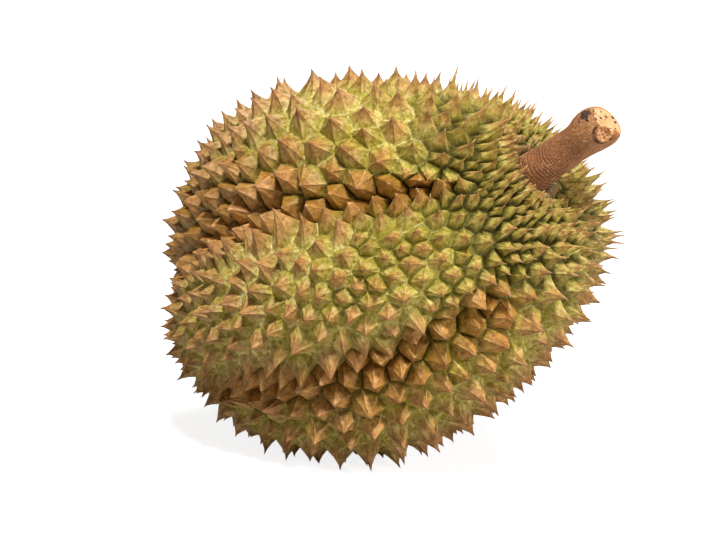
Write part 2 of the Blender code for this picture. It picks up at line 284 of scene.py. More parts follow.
# %% [markdown]
# One side of a thorn is a three-cornered patch between its tip and two valley corners. The patch
# is a grid: one parameter runs across it from ridge to ridge, the other down it from the tip to
# the valley. A real thorn is not a straight pyramid. It ends in a needle, its foot drops steeply
# into a narrow crease, and its flanks are hollow between the ridges, which are not all equally
# strong. Thorns in a groove and beside it stay fuller and blunter, like buds. Cones copied all over
# an egg would leave gaps or cut into each other. Here each side is stretched between its own
# corners, which its neighbours share, and one formula says how high it stands at each grid point.

# %% The shape of a thorn's side
ACROSS_STEPS = np.array([0.0, 0.05, 0.95, 1.0])
DOWN_STEPS = np.array([0.0, 0.11, 0.38, 0.72, 0.93, 1.0])
ACROSS = len(ACROSS_STEPS) - 1
DOWN = len(DOWN_STEPS) - 1
# For each thorn: how deep its crease is, how sharp its point (0.5 is a needle, 1 a plain pyramid),
# how full its foot, how hollow its flanks, and how far it bends sideways.
crease = 0.01 + 0.03 * crowded + 0.03 * in_groove
pointed = 0.55 + 0.12 * own_number + 0.17 * crowded + 0.32 * near_groove - 0.24 * stalk_pull
fullness = 0.02 * own_number_2 + 0.06 * crowded * (1 - stalk_pull) + 0.18 * near_groove
flank_hollow = 0.13 + 0.08 * own_number - 0.08 * crowded
side_way = np.cross(outward, np.stack([own_number, own_number_2, 1 - own_number], axis=1) - 0.5)
bend = (0.03 + 0.08 * own_number_2 * own_number)[:, None] * height[:, None] * unit(side_way)


def ridge_strength(corner):
    """A number from -1 to 1 for each ridge, the same for both sides that share it."""
    seed = (corners[corner] + 3.7 * foot[thorn]) @ np.array([911.7, 677.1, 523.3])
    return 2 * np.mod(seed, 1.0) - 1


def side_points(u, v):
    """Points of every side at u across (0 to 1) and v down (0 tip, 1 valley), and their rise.

    rise = 1 - v ** pointed + full * v ** 3 - (full + crease) * v ** 14
           - hollow * (1 - ridge) * 4 v (1 - v) + 0.05 * ridge strength * 4 v (1 - v)
    point = foot + v * (valley - foot) + rise * (tip - foot) + bend * 4 rise (1 - rise)
    """
    def each(per_thorn):
        return per_thorn[thorn][:, None, None]

    ridge = (1.0 - 4 * u * (1 - u))[None, None, :]
    down = v[None, :, None]
    waist = 4 * down * (1 - down)
    left_ridge, right_ridge = (ridge_strength(valley[:, k])[:, None, None] for k in (0, 1))
    strength = left_ridge + (right_ridge - left_ridge) * u[None, None, :]
    rise = 1 - down ** each(pointed) + each(fullness) * down**3 - each(fullness + crease) * down**14
    rise = rise - each(flank_hollow) * (1 - ridge) * waist + 0.05 * strength * waist
    rise = np.where(each(is_seat), 1 - down, rise)
    base = left[:, None, None, :] + (right - left)[:, None, None, :] * u[None, None, :, None]
    middle = foot[thorn][:, None, None, :]
    spine = (tips - foot)[thorn][:, None, None, :]
    bow = bend[thorn][:, None, None, :] * (4 * rise * (1 - rise))[..., None]
    return middle + down[..., None] * (base - middle) + rise[..., None] * spine + bow, rise


grid, rise = side_points(ACROSS_STEPS, DOWN_STEPS)
grid[..., 2] = np.maximum(grid[..., 2], 0.0)
print("points before sharing:", grid.size // 3, " rise:", rise.min().round(3), "to", rise.max().round(3))

# %% [markdown]
# Next comes the list of which points are shared. A tip belongs to all sides of its thorn, a ridge
# to two sides, a valley edge to two thorns, and a valley corner to three. Every such point gets
# one number, looked up for all sides at once.

# %% Number the shared points
side_count = len(sides)
key = thorn * len(corners) + valley[:, 0]
key_order = np.argsort(key)
next_side = key_order[np.searchsorted(key[key_order], thorn * len(corners) + valley[:, 1])]
forward = valley[:, 0] < valley[:, 1]

first_corner = count
first_ridge = first_corner + len(corners)
first_edge = first_ridge + side_count * (DOWN - 1)
first_inner = first_edge + (side_count // 2) * (ACROSS - 1)
point_count = first_inner + side_count * (DOWN - 1) * (ACROSS - 1)

number = np.empty((side_count, DOWN + 1, ACROSS + 1), dtype=np.int64)
ridge_numbers = first_ridge + np.arange(side_count * (DOWN - 1)).reshape(side_count, DOWN - 1)
edge_steps = np.arange(ACROSS - 1)
steps_along_edge = np.where(forward[:, None], edge_steps, edge_steps[::-1])
edge_numbers = first_edge + edge[:, None] * (ACROSS - 1) + steps_along_edge
inner_shape = (side_count, DOWN - 1, ACROSS - 1)
number[:, 0, :] = thorn[:, None]
number[:, DOWN, 0] = first_corner + valley[:, 0]
number[:, DOWN, ACROSS] = first_corner + valley[:, 1]
number[:, DOWN, 1:ACROSS] = edge_numbers
number[:, 1:DOWN, 0] = ridge_numbers
number[:, 1:DOWN, ACROSS] = ridge_numbers[next_side]
number[:, 1:DOWN, 1:ACROSS] = first_inner + np.arange(math.prod(inner_shape)).reshape(inner_shape)

# %% [markdown]
# Each grid gives three-cornered faces at the tip and four-cornered ones below it. The same reading
# of the grid serves the faces, the directions of the fibres and the flat layout, so it is written
# once, for any values that are kept on the grids.

# %% Faces from the grids
def tip_fans_of(values):
    """The three corners of each face that meets the tip: the tip, then two points below it."""
    return np.stack([values[:, 0, :-1], values[:, 1, :-1], values[:, 1, 1:]], axis=2)


def quads_of(values):
    """The four corners of each face below, counted so that it faces outward."""
    upper, lower = values[:, 1:-1], values[:, 2:]
    return np.stack([upper[:, :, :-1], lower[:, :, :-1], lower[:, :, 1:], upper[:, :, 1:]], axis=3)


uses = np.bincount(number.ravel(), minlength=point_count)[:, None]
points = corner_sums(number.ravel(), grid.reshape(-1, 3), point_count) / uses
tip_fans = tip_fans_of(number).reshape(-1, 3)
quads = quads_of(number).reshape(-1, 4)
print("points:", point_count, " triangles:", len(tip_fans) + 2 * len(quads))

# %% [markdown]
# Two helpers serve every piece: one turns arrays of points and faces into a mesh object that rides
# on the body, the other stores one number per point for the finish to read.

# %% Mesh helpers
def mesh_piece(name, points, triangles, quads):
    """Make a smooth-shaded object from points, triangles and four-sided faces."""
    data = bpy.data.meshes.new(name)
    loops = np.concatenate([triangles.ravel(), quads.ravel()])
    sizes = np.concatenate([np.full(len(triangles), 3), np.full(len(quads), 4)])
    data.vertices.add(len(points))
    data.vertices.foreach_set("co", points.ravel())
    data.loops.add(len(loops))
    data.loops.foreach_set("vertex_index", loops)
    data.polygons.add(len(sizes))
    data.polygons.foreach_set("loop_start", np.cumsum(sizes) - sizes)
    data.polygons.foreach_set("use_smooth", np.ones(len(sizes), dtype=bool))
    data.update(calc_edges=True)
    thing = bpy.data.objects.new(name, data)
    bpy.context.scene.collection.objects.link(thing)
    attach(thing, "root")
    return thing


def store(thing, name, values):
    """Keep one number, or one vector, per point under a name."""
    kind, field = ("FLOAT", "value") if values.ndim == 1 else ("FLOAT_VECTOR", "vector")
    thing.data.attributes.new(name, kind, "POINT").data.foreach_set(field, values.ravel())


# %% [markdown]
# The new husk takes the place of the plain one. A finish could guess from the shape alone where it
# is on a thorn, but the numbers are at hand here, so they are kept on the mesh: how high up the
# thorn a point is, how near a ridge, and where on the fruit its thorn stands.

# %% The thorny husk
husk = mesh_piece("thorny_husk", points, tip_fans, quads)
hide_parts("husk")


def over_grid(values):
    """The same values, repeated wherever needed to cover every side's grid."""
    return np.broadcast_to(values, number.shape)


def spread(per_side):
    """Put a value given on every side's grid onto the shared points."""
    shared_values = np.empty(point_count)
    shared_values[number] = over_grid(per_side)
    return shared_values


def spread_foot(per_thorn):
    """Put a value of each thorn onto its points, and the mean of its thorns onto a valley point."""
    values = over_grid(per_thorn[thorn][:, None, None])
    return np.bincount(number.ravel(), values.ravel(), point_count) / uses[:, 0]


store(husk, "rise", spread(rise))
store(husk, "ridge", spread(1.0 - 4 * ACROSS_STEPS * (1 - ACROSS_STEPS)))
per_thorn_masks = {
    "near_groove": near_groove, "crowded": crowded, "near_stalk": near_stalk, "dry_crown": dry_crown,
}
for name, values in per_thorn_masks.items():
    store(husk, name, spread_foot(values))
print("husk faces:", len(husk.data.polygons), " kept on it:", ["rise", "ridge", *per_thorn_masks])

# %% [markdown]
# Fibres run up every thorn from its foot to its tip, so the finish needs to know where a point is
# around its own thorn and how far up. A valley point belongs to several thorns at once, so this is
# kept per face corner. The direction around is kept as a point on a circle, which has no seam. Going
# down the thorn counts for little, which is what draws the fibres out, and every thorn reads
# another stretch of them.

# %% Fibre directions
LENGTH_SHARE = 0.35
THORN_OFFSET = 17


def per_corner(values):
    """Values on every side's grid, in the order of the face corners."""
    deeper = values.shape[3:]
    return np.concatenate([tip_fans_of(values).reshape(-1, *deeper), quads_of(values).reshape(-1, *deeper)])


def around_thorn(flat_points):
    """Cosine and sine of the angle around the thorn's own middle."""
    first = unit(np.cross(outward, ALONG + 0.3 * UPWARD))
    second = np.cross(outward, first)
    away = flat_points - foot[thorn][:, None, None, :]
    shares = [(away * way[thorn][:, None, None, :]).sum(axis=-1) for way in (first, second)]
    turn = np.stack(shares, axis=-1)
    return turn / np.maximum(np.linalg.norm(turn, axis=-1, keepdims=True), 1e-9)


flattened, _ = side_points(ACROSS_STEPS, DOWN_STEPS)
flattened -= rise[..., None] * (tips - foot)[thorn][:, None, None, :]
circle = around_thorn(flattened) * DOWN_STEPS[None, :, None, None] ** 0.5
own_grid = own_number[thorn][:, None, None]
lengthways = over_grid((LENGTH_SHARE * DOWN_STEPS)[None, :, None] + THORN_OFFSET * own_grid)
grain = per_corner(np.concatenate([circle, lengthways[..., None]], axis=-1))
husk.data.attributes.new("grain", "FLOAT_VECTOR", "CORNER").data.foreach_set("vector", grain.ravel())
own_corner = per_corner(over_grid(own_grid))
husk.data.attributes.new("own_number", "FLOAT", "CORNER").data.foreach_set("value", own_corner)
print("face corners with a fibre direction:", len(own_corner))

# %% [markdown]
# The flat picture that the colours can be baked into is laid out per face corner too. Blender could
# unwrap the husk itself, but its seams would cross thorns at random. So the thorns are sorted onto
# the six faces of a cube around the fruit, and each is flattened onto its face.

# %% Flat layout
FACE_FILL = 0.82
OTHER_AXES = np.array([[1, 2], [2, 0], [0, 1]])


def cube_layout(flat_points):
    """Place on a 3 by 2 sheet of cube faces; the angle from a face's middle is spread evenly."""
    home = unit(foot - MIDDLE)
    axis = np.argmax(np.abs(home), axis=1)
    sign = np.take_along_axis(home, axis[:, None], axis=1)[:, 0] > 0
    away = flat_points - MIDDLE
    axis_each = axis[thorn][:, None, None, None]
    depth = np.abs(np.take_along_axis(away, np.broadcast_to(axis_each, away.shape[:3] + (1,)), axis=3))
    pair = OTHER_AXES[axis[thorn]][:, None, None, :]
    across_face = np.take_along_axis(away, np.broadcast_to(pair, away.shape[:3] + (2,)), axis=3)
    place = np.arctan(across_face / depth) / (math.pi / 4) * FACE_FILL
    column = axis[thorn][:, None, None]
    row = sign[thorn][:, None, None]
    right_share = (column + 0.5 + 0.5 * place[..., 0]) / 3
    up_share = (row + 0.5 + 0.5 * place[..., 1]) / 2
    return np.stack([right_share, up_share], axis=-1)


layout = cube_layout(flattened)
husk.data.uv_layers.new(name="OFBake").data.foreach_set("uv", per_corner(layout).ravel())
print("flat layout runs from", layout.min(axis=(0, 1, 2)).round(3), "to", layout.max(axis=(0, 1, 2)).round(3))

# %% [markdown]
# The finishes are made of small steps, so a few short helpers put nodes together: one adds a node
# and wires it, some do arithmetic, one mixes two colours by a mask. Wiring by hand in the shader
# editor gives the same thing, but steps in words are easier to read and to change.

# %% Node helpers
def put(tree, kind, wires=None, **settings):
    """Add a node; each entry of wires is an input's name with a plain value or another output."""
    node = tree.nodes.new(kind)
    for name, value in settings.items():
        setattr(node, name, value)
    for name, value in (wires or {}).items():
        if isinstance(value, bpy.types.NodeSocket):
            tree.links.new(value, node.inputs[name])
        else:
            node.inputs[name].default_value = value
    return node


def maths(tree, operation, *values):
    """The result of a sum, product, power and so on of values or outputs."""
    return put(tree, "ShaderNodeMath", dict(enumerate(values)), operation=operation).outputs[0]


def times(tree, *values):
    """The product of all the values."""
    product = values[0]
    for value in values[1:]:
        product = maths(tree, "MULTIPLY", product, value)
    return product


def plus(tree, *values):
    """The sum of all the values."""
    total = values[0]
    for value in values[1:]:
        total = maths(tree, "ADD", total, value)
    return total


def ramp(tree, value, low, high, start=0.0, end=1.0):
    """An S-shaped rise of a value from start at low to end at high."""
    wires = {"Value": value, "From Min": low, "From Max": high, "To Min": start, "To Max": end}
    return put(tree, "ShaderNodeMapRange", wires, interpolation_type="SMOOTHSTEP").outputs["Result"]


def blend(tree, mask, under, over, mode="MIX"):
    """One colour laid over another where the mask is one; sockets 6 and 7 are a Mix node's colours."""
    wires = {0: mask, 6: under, 7: over}
    return put(tree, "ShaderNodeMix", wires, data_type="RGBA", blend_type=mode).outputs[2]


def named(tree, name, output="Fac"):
    """A number or vector kept on the mesh."""
    return put(tree, "ShaderNodeAttribute", attribute_name=name).outputs[output]


# %% Colour, relief and material helpers
def paint(red, green, blue):
    """A colour given as a painter's 0 to 255, in the linear light the shader works in."""
    share = np.array([red, green, blue]) / 255
    linear = np.where(share <= 0.04045, share / 12.92, ((share + 0.055) / 1.055) ** 2.4)
    return (*linear.tolist(), 1.0)


def new_material(name):
    """A material with its node tree and its shader."""
    material = bpy.data.materials.new(name)
    material.use_nodes = True
    return material, material.node_tree, material.node_tree.nodes["Principled BSDF"]


def add_relief(tree, shader, height, strength, depth):
    """Fine bumps that are too small to model: height 0 to 1 stands for up to depth metres."""
    bump = put(tree, "ShaderNodeBump", {"Height": height, "Strength": strength, "Distance": depth})
    tree.links.new(bump.outputs["Normal"], shader.inputs["Normal"])


# %% [markdown]
# Rind and bark are both made of plant fibres, with flecks of dead skin on them. The two finishes
# share one node group for that, and each sets its own fineness. The streaks are cloudy noise read
# along the fibre directions kept on the mesh, so that they bend with every thorn.

# %% Plant fibre
FIBRE_MASKS = ("Streak", "Fleck", "Grit", "Mottle")
MOTTLE_SHARE = 0.18


def noise(tree, place, scale, detail, roughness):
    """Cloudy noise, mostly between 0.3 and 0.7."""
    wires = {"Vector": place, "Scale": scale, "Detail": detail, "Roughness": roughness}
    return put(tree, "ShaderNodeTexNoise", wires).outputs["Fac"]


def fibre_group():
    """Four masks from 0 to 1: streaks, flecks, grit and mottle.

    Streak = noise stretched along the fibre. Fleck = fine noise, kept only above a threshold, and
    grit is the same noise kept whole. Mottle = noise over five times as coarse as the flecks.
    """
    group = bpy.data.node_groups.new("plant fibre", "ShaderNodeTree")
    for name in ("Grain", "Place"):
        group.interface.new_socket(name, in_out="INPUT", socket_type="NodeSocketVector")
    for name in ("Fineness", "Fleck Density"):
        group.interface.new_socket(name, in_out="INPUT", socket_type="NodeSocketFloat")
    for name in FIBRE_MASKS:
        group.interface.new_socket(name, in_out="OUTPUT", socket_type="NodeSocketFloat")
    inside = put(group, "NodeGroupInput").outputs
    streak = noise(group, inside["Grain"], inside["Fineness"], detail=4.0, roughness=0.65)
    fleck = noise(group, inside["Place"], inside["Fleck Density"], detail=3.0, roughness=0.7)
    coarse = maths(group, "MULTIPLY", inside["Fleck Density"], MOTTLE_SHARE)
    mottle = noise(group, inside["Place"], coarse, detail=3.0, roughness=0.6)
    masks = {
        "Streak": ramp(group, streak, 0.3, 0.7),
        "Fleck": ramp(group, fleck, 0.54, 0.68),
        "Grit": ramp(group, fleck, 0.32, 0.66),
        "Mottle": ramp(group, mottle, 0.35, 0.65),
    }
    put(group, "NodeGroupOutput", masks)
    return group


def plant_fibre(tree, fineness, fleck_density):
    """Place the group in a material and hand back its streak, fleck, grit and mottle."""
    wires = {
        "Grain": named(tree, "grain", "Vector"), "Place": put(tree, "ShaderNodeTexCoord").outputs["Object"],
        "Fineness": fineness, "Fleck Density": fleck_density,
    }
    fibre = put(tree, "ShaderNodeGroup", wires, node_tree=FIBRE)
    return [fibre.outputs[name] for name in FIBRE_MASKS]


FIBRE = fibre_group()
print("fibre group nodes:", len(FIBRE.nodes))

# %% [markdown]
# A ripe durian is not one colour. Its flanks are olive, the valleys between thorns are yellow-green,
# and brown spreads down from every tip, further in the grooves and less around the stalk. A painted
# picture could hold all that, but it would be blurred on small thorns and would show seams. Here
# every colour follows from what the mesh knows about a point.

# %% The rind's colours and what they depend on
RIND_COLOURS = {
    "valley": (188, 168, 96), "valley near stalk": (174, 164, 66),
    "crowded valley": (138, 136, 4), "groove valley": (146, 128, 12),
    "flank": (166, 139, 66), "flank near stalk": (178, 164, 82),
    "mottled flank": (170, 124, 60), "groove flank": (170, 136, 44), "pale streak": (226, 208, 150),
    "dark brown": (136, 88, 38), "light brown": (170, 127, 70), "groove brown": (170, 116, 48),
    # The ridge colour on the next line is a painted highlight.
    "painted ridge highlight": (212, 176, 120), "dead skin": (126, 68, 30), "dry scale": (156, 116, 72),
    "rust": (134, 76, 42), "sharp tip": (104, 62, 36), "blunt tip": (200, 152, 110),
    # The crease colour on the next line is painted shade.
    "pale line": (228, 212, 164), "crease": (56, 42, 0),
}
RIND = {name: paint(*shades) for name, shades in RIND_COLOURS.items()}
RIND_FINENESS = 6.0
RIND_FLECK_DENSITY = 420.0


def rind_masks(tree):
    """What is known at each point: the numbers kept on the husk, and the plant fibre."""
    at = SimpleNamespace(
        rise=named(tree, "rise"), ridge=named(tree, "ridge"), own=named(tree, "own_number"),
        groove=named(tree, "near_groove"), stalk=named(tree, "near_stalk"),
        dry=named(tree, "dry_crown"), crowded=named(tree, "crowded"))
    at.streak, at.fleck, at.grit, at.mottle = plant_fibre(tree, RIND_FINENESS, RIND_FLECK_DENSITY)
    at.open_ground = maths(tree, "SUBTRACT", 1.0, maths(tree, "MAXIMUM", at.crowded, at.groove))
    return at


print("rind colours:", len(RIND))

# %% [markdown]
# The green lasts longest in the sheltered valleys and around the stalk. Two colours are worked out,
# one for the valleys and one for the flanks, each with its own tone for every region, and the rise
# fades one into the other. Pale streaks of fibre lie over both.

# %% Green valleys and olive flanks
def green_ground(tree, at):
    """Valley colours low on a thorn and flank colours above, each by region, with pale streaks."""
    valley = blend(tree, at.stalk, RIND["valley"], RIND["valley near stalk"])
    valley = blend(tree, at.crowded, valley, RIND["crowded valley"])
    valley = blend(tree, at.groove, valley, RIND["groove valley"])
    flank = blend(tree, at.stalk, RIND["flank"], RIND["flank near stalk"])
    flank = blend(tree, times(tree, at.mottle, 0.4), flank, RIND["mottled flank"])
    flank = blend(tree, times(tree, at.groove, 0.7), flank, RIND["groove flank"])
    ground = blend(tree, ramp(tree, at.rise, 0.04, 0.30), valley, flank)
    return blend(tree, ramp(tree, at.streak, 0.50, 0.95, 0.0, 0.22), ground, RIND["pale streak"])


# %% [markdown]
# The brown is corky skin. It starts at the tip and runs down the ridges. The rise alone would draw
# an even brown cap on every thorn, so each of the other masks adds its share to the rise before it
# is compared. The ridges get a pale painted highlight, and the tips of crowded thorns are paler.

# %% Brown ridges, rust and tips
def browned(tree, at, colour):
    """Brown where the rise, plus a share of every other mask, passes one half; rust and tip above."""
    shares = [
        (at.ridge, 0.14), (at.streak, 0.12), (at.own, 0.26), (at.mottle, 0.18), (at.grit, 0.20),
        (at.groove, 0.38), (at.stalk, -0.18), (at.crowded, -0.04)]
    brown_from = plus(tree, at.rise, *(times(tree, mask, share) for mask, share in shares))
    brown = blend(tree, at.mottle, RIND["dark brown"], RIND["light brown"])
    brown = blend(tree, times(tree, at.groove, 0.6), brown, RIND["groove brown"])
    colour = blend(tree, ramp(tree, brown_from, 0.50, 1.06, 0.0, 0.90), colour, brown)
    # A painted highlight along every ridge, broken up by the streaks.
    wear_and_painted_highlight = times(tree, ramp(tree, at.ridge, 0.82, 1.0), ramp(tree, at.streak, 0.2, 0.7, 0.1, 0.60))
    colour = blend(tree, wear_and_painted_highlight, colour, RIND["painted ridge highlight"])
    colour = blend(tree, times(tree, at.fleck, 0.5), colour, RIND["dead skin"])
    dried = times(tree, at.dry, ramp(tree, at.rise, 0.1, 0.6, 0.0, 0.8))
    colour = blend(tree, dried, colour, RIND["dry scale"])

    uneven_rise = plus(tree, at.rise, times(tree, at.streak, 0.10))
    rusty = ramp(tree, plus(tree, uneven_rise, times(tree, at.own, 0.12)), 0.58, 1.10, 0.0, 0.62)
    colour = blend(tree, times(tree, rusty, at.open_ground), colour, RIND["rust"])
    tip = blend(tree, at.crowded, RIND["sharp tip"], RIND["blunt tip"])
    return blend(tree, ramp(tree, uneven_rise, 0.86, 1.02, 0.0, 0.85), colour, tip)


# %% [markdown]
# Where open thorns meet, the stretched skin shows as a thin pale line. Where thorns are pressed
# together hardly any light gets in. The creases in the mesh are not as narrow as the real ones, so
# they are painted darker too.

# %% Pale lines and painted shade in the creases
def pale_lines_and_painted_crease_shade(tree, at, colour):
    """A pale line along open valleys, and painted shade in the creases where thorns are pressed together.

    Dark = the strongest painted shade of four: crowded thorns, grooves, the dry scales, and the rind by the
    stalk.
    """
    pale = times(
        tree, ramp(tree, at.rise, 0.09, 0.0), at.open_ground, ramp(tree, at.grit, 0.0, 1.0, 0.66, 0.18))
    colour = blend(tree, pale, colour, RIND["pale line"])
    deep = plus(tree, at.rise, times(tree, at.groove, -0.05), times(tree, at.streak, 0.05))
    # For each crease's painted shade: where it lies, how high up the thorn it starts, where it is full, how
    # dark.
    creases = [
        (ramp(tree, at.crowded, 0.0, 0.7, 0.10, 0.50), 0.24, -0.04, 0.88),
        (ramp(tree, at.groove, 0.2, 0.9), 0.22, -0.04, 0.92),
        (at.dry, 0.70, 0.10, 0.92),
        (ramp(tree, at.stalk, 0.68, 0.95), 0.34, 0.02, 0.86)]
    dark = 0.0
    for where, start, full, strength in creases:
        painted_shade_mask = times(tree, ramp(tree, deep, start, full, 0.0, strength), where)
        dark = maths(tree, "MAXIMUM", dark, painted_shade_mask)
    return blend(tree, dark, colour, RIND["crease"])


# %% [markdown]
# No two thorns are equally bright, and each is uneven in itself. A grey that is multiplied in does
# that for all the colours at once. The same grey also carries painted shade: darker low in the
# valleys and lighter towards the tips. Its blue falls faster than the rest where it is dark, which
# keeps the dark parts warm.

# %% Light and dark from thorn to thorn, with painted shade in the valleys
def shaded(tree, at, colour):
    """Multiply by a grey that changes with streak, thorn and grit, paints shade low on a thorn and light
    higher up, and is yellower where dark.
    """
    # The rise term is painted shade low on each thorn and a painted lift of light towards its tip.
    shade = times(
        tree, ramp(tree, at.streak, 0.0, 1.0, 0.88, 1.10), ramp(tree, at.own, 0.0, 1.0, 0.86, 1.12),
        ramp(tree, at.grit, 0.0, 1.0, 1.16, 0.84), ramp(tree, at.rise, 0.0, 0.4, 0.90, 1.16))
    blue = times(tree, shade, ramp(tree, shade, 0.60, 1.20, 0.25, 0.98))
    grey = put(tree, "ShaderNodeCombineColor", {0: shade, 1: shade, 2: blue}).outputs[0]
    return blend(tree, 1.0, colour, grey, "MULTIPLY")


# %% [markdown]
# The rind is waxy on clean skin and dull in its creases and where dead skin lies, so the roughness
# follows the grit and the rise. Fibres, flecks and mottle also stand out a little as relief.

# %% Rind finish
def rind_finish():
    """The four colour steps one on the other, a roughness that follows them, and fibrous relief."""
    material, tree, shader = new_material("durian rind")
    at = rind_masks(tree)
    colour = green_ground(tree, at)
    for step in (browned, pale_lines_and_painted_crease_shade, shaded):
        colour = step(tree, at, colour)
    tree.links.new(colour, shader.inputs["Base Color"])
    rough = maths(tree, "SUBTRACT", ramp(tree, at.grit, 0.0, 1.0, 0.38, 0.60), times(tree, at.groove, 0.12))
    rough = maths(tree, "MAXIMUM", rough, ramp(tree, at.rise, 0.20, 0.05))
    tree.links.new(rough, shader.inputs["Roughness"])
    relief = plus(tree, times(tree, at.streak, 0.7), times(tree, at.fleck, 0.5), times(tree, at.mottle, 0.6))
    add_relief(tree, shader, relief, strength=0.45, depth=0.0006)
    return material


husk.data.materials.append(rind_finish())
print("rind finish nodes:", len(husk.data.materials[0].node_tree.nodes))

# %% [markdown]
# The stalk is a stub of woody stem. It flares where it grips the fruit, narrows, and swells again
# under the cut. Three kinds of detail make it read as wood: rings of cracked bark near the foot,
# the stump of a side twig and an old black scar near the end, and the pale cut face with its open
# pores. A turned profile would be too even for that. So the outside is one grid, and its shape is
# a formula on two numbers, turn and run. Turn goes around. Run goes from the middle of the foot (0)
# to its edge (1), up the side to the rim (2), and over the rim to the middle of the cut (3).

# %% The stalk's grid
STALK_LENGTH = 0.0462
COLUMNS = 160
UNDER_ROWS, SIDE_ROWS, CUT_ROWS = 2, 170, 44
turn_steps = np.linspace(0.0, 2 * math.pi, COLUMNS, endpoint=False)
run_steps = np.concatenate([
    np.linspace(0, 1, UNDER_ROWS, endpoint=False), 1 + np.linspace(0, 1, SIDE_ROWS, endpoint=False),
    2 + np.linspace(0, 1, CUT_ROWS + 1)])[1:-1]
run, turn = np.meshgrid(run_steps, turn_steps, indexing="ij")
stalk_way = np.cos(turn)[..., None] * UPWARD + np.sin(turn)[..., None] * SIDEWAYS
distance = STALK_LENGTH * np.clip(run - 1, 0, 1)
inward = np.clip(run, 0, 1) * np.clip(3 - run, 0, 1)
print("stalk grid:", run.shape)

# %% [markdown]
# Nothing on the stalk is evenly round. Sine waves with whole numbers of turns add up to an
# unevenness that closes on itself, from slow swells to fine fibres. Near the foot the bark is
# cracked in narrow rings that wander a little and are broken here and there.

# %% Unevenness and bark rings
def waves(around, along, seed, number=20):
    """Unevenness of spread 1: sine waves with whole numbers of turns around the stalk.

    around = range of the number of turns, along = range of waves per metre
    """
    rng = np.random.default_rng(seed)
    turns = rng.integers(around[0], around[1] + 1, number) * rng.choice([-1, 1], number)
    lengths = 2 * math.pi * rng.uniform(along[0], along[1], number)
    shift = rng.uniform(0, 2 * math.pi, number)
    phase = turn[..., None] * turns + (distance + 0.2 * inward)[..., None] * lengths + shift
    return np.sin(phase).sum(axis=-1) * math.sqrt(2 / number)


FIRST_RINGS = [0.0009, 0.0012]
MORE_RINGS = 9
RING_GAP = (0.0014, 0.0023)
RING_FADE = (0.012, 0.024)
RING_WIDTH = 0.00022


def bark_rings():
    """Narrow cracks around the bark: each is exp(-(distance from the ring / width) squared)."""
    rng = np.random.default_rng(5)
    places = np.cumsum(np.concatenate([FIRST_RINGS, rng.uniform(*RING_GAP, MORE_RINGS)]))
    strength = np.concatenate([np.ones(len(FIRST_RINGS)), rng.uniform(0.7, 1.0, MORE_RINGS)])
    strength *= 1 - smooth_step(places, *RING_FADE)
    wander = 0.00016 * waves((1, 4), (0, 40), 6) + 0.00005 * waves((8, 20), (0, 200), 7)
    gap = (distance + wander)[..., None] - places
    broken = np.clip(0.85 + 0.25 * waves((2, 7), (60, 200), 8), 0.3, 1.0)
    cracks = (strength * np.exp(-(gap / RING_WIDTH) ** 2)).sum(axis=-1)
    return broken * cracks * (run > 1) * (run < 2)


rings = bark_rings()
print("bark rings deepest:", rings.max().round(2))

# %% [markdown]
# The radius at each point is a sum of plain lengths: a flare that dies away from the foot, a swell
# and then a taper towards the end, the unevenness, the cracks, and the rounding of the rim. The
# stalk bends up a little, and its end is cut at a slant.

# %% The stalk's surface
STALK_RADIUS = 0.0085
FOOT_FLARE, FLARE_REACH = 0.0014, 0.009
END_SWELL, SWELL_RUN = 0.0014, (0.024, 0.038)
END_TAPER, TAPER_RUN = 0.0012, (0.041, 0.0468)
RING_DEPTH = 0.00019
RIM_ROUNDING = 0.00045
END_BEND = 0.0008
CUT_SLANT = 0.16
# Depth in metres, turns around, waves per metre and seed: slow swells, ribs, then fibres.
UNEVENNESS = [
    (0.00022, (1, 4), (5, 50), 1), (0.00007, (9, 26), (8, 60), 2), (0.00004, (20, 44), (20, 300), 3)]

# radius = plain + flare * exp(-distance / reach) + swell - taper + unevenness - rings - rounding
side = smooth_step(run, 1.0, 1.02) * (1 - smooth_step(run, 1.97, 2.0))
radius = STALK_RADIUS + FOOT_FLARE * np.exp(-distance / FLARE_REACH)
radius += END_SWELL * smooth_step(distance, *SWELL_RUN) - END_TAPER * smooth_step(distance, *TAPER_RUN)
for depth, around, along, seed in UNEVENNESS:
    radius += depth * waves(around, along, seed) * side
radius -= RING_DEPTH * rings
up_to_rim = run < 2.0001
radius -= RIM_ROUNDING * smooth_step(run, 1.975, 2.0) * up_to_rim
far_share = distance / STALK_LENGTH
bent = END_BEND * far_share**2
slant = CUT_SLANT * radius * inward * np.cos(turn) * far_share**4
surface = STALK_FOOT + (distance - slant)[..., None] * ALONG + bent[..., None] * UPWARD
surface = surface + (radius * inward)[..., None] * stalk_way
print("stalk radius, mm:", (1000 * radius.min()).round(2), "to", (1000 * radius.max()).round(2))

# %% [markdown]
# A stump, lump or scar is made by pressing: points within its reach are moved along its own
# direction until they lie on its own flat or dished face. The edge of the reach blends over a
# short distance, which leaves a step like the callus around a healed twig.

# %% Pressing helpers
# Points further below a face than this belong to the other side of the stalk.
NEAR_SIDE = -0.006


def around_stalk(degrees):
    """A direction square to the stalk: 0 is upward, 90 sideways."""
    return math.cos(math.radians(degrees)) * UPWARD + math.sin(math.radians(degrees)) * SIDEWAYS


def measure(centre, face_way):
    """Distance of every surface point from a line through a centre, and its height along the line."""
    away = surface - centre
    level = away @ face_way
    return np.linalg.norm(away - level[..., None] * face_way, axis=-1), level


def pressed(centre, face_way, inner, outer, raised, dish):
    """Move points onto a dished face: full effect within inner, none beyond outer."""
    off, level = measure(centre, face_way)
    mask = (1 - smooth_step(off, inner, outer)) * (level > NEAR_SIDE)
    target = raised - dish * (1 - (off / outer) ** 2)
    return surface + (mask * (target - level))[..., None] * face_way, mask


# %% [markdown]
# A side twig was cut off close to the end of the stalk. Its stump is nearly flat, with a narrow
# fold around it where the callus closed in. A smaller lump and a ragged scar sit further round.

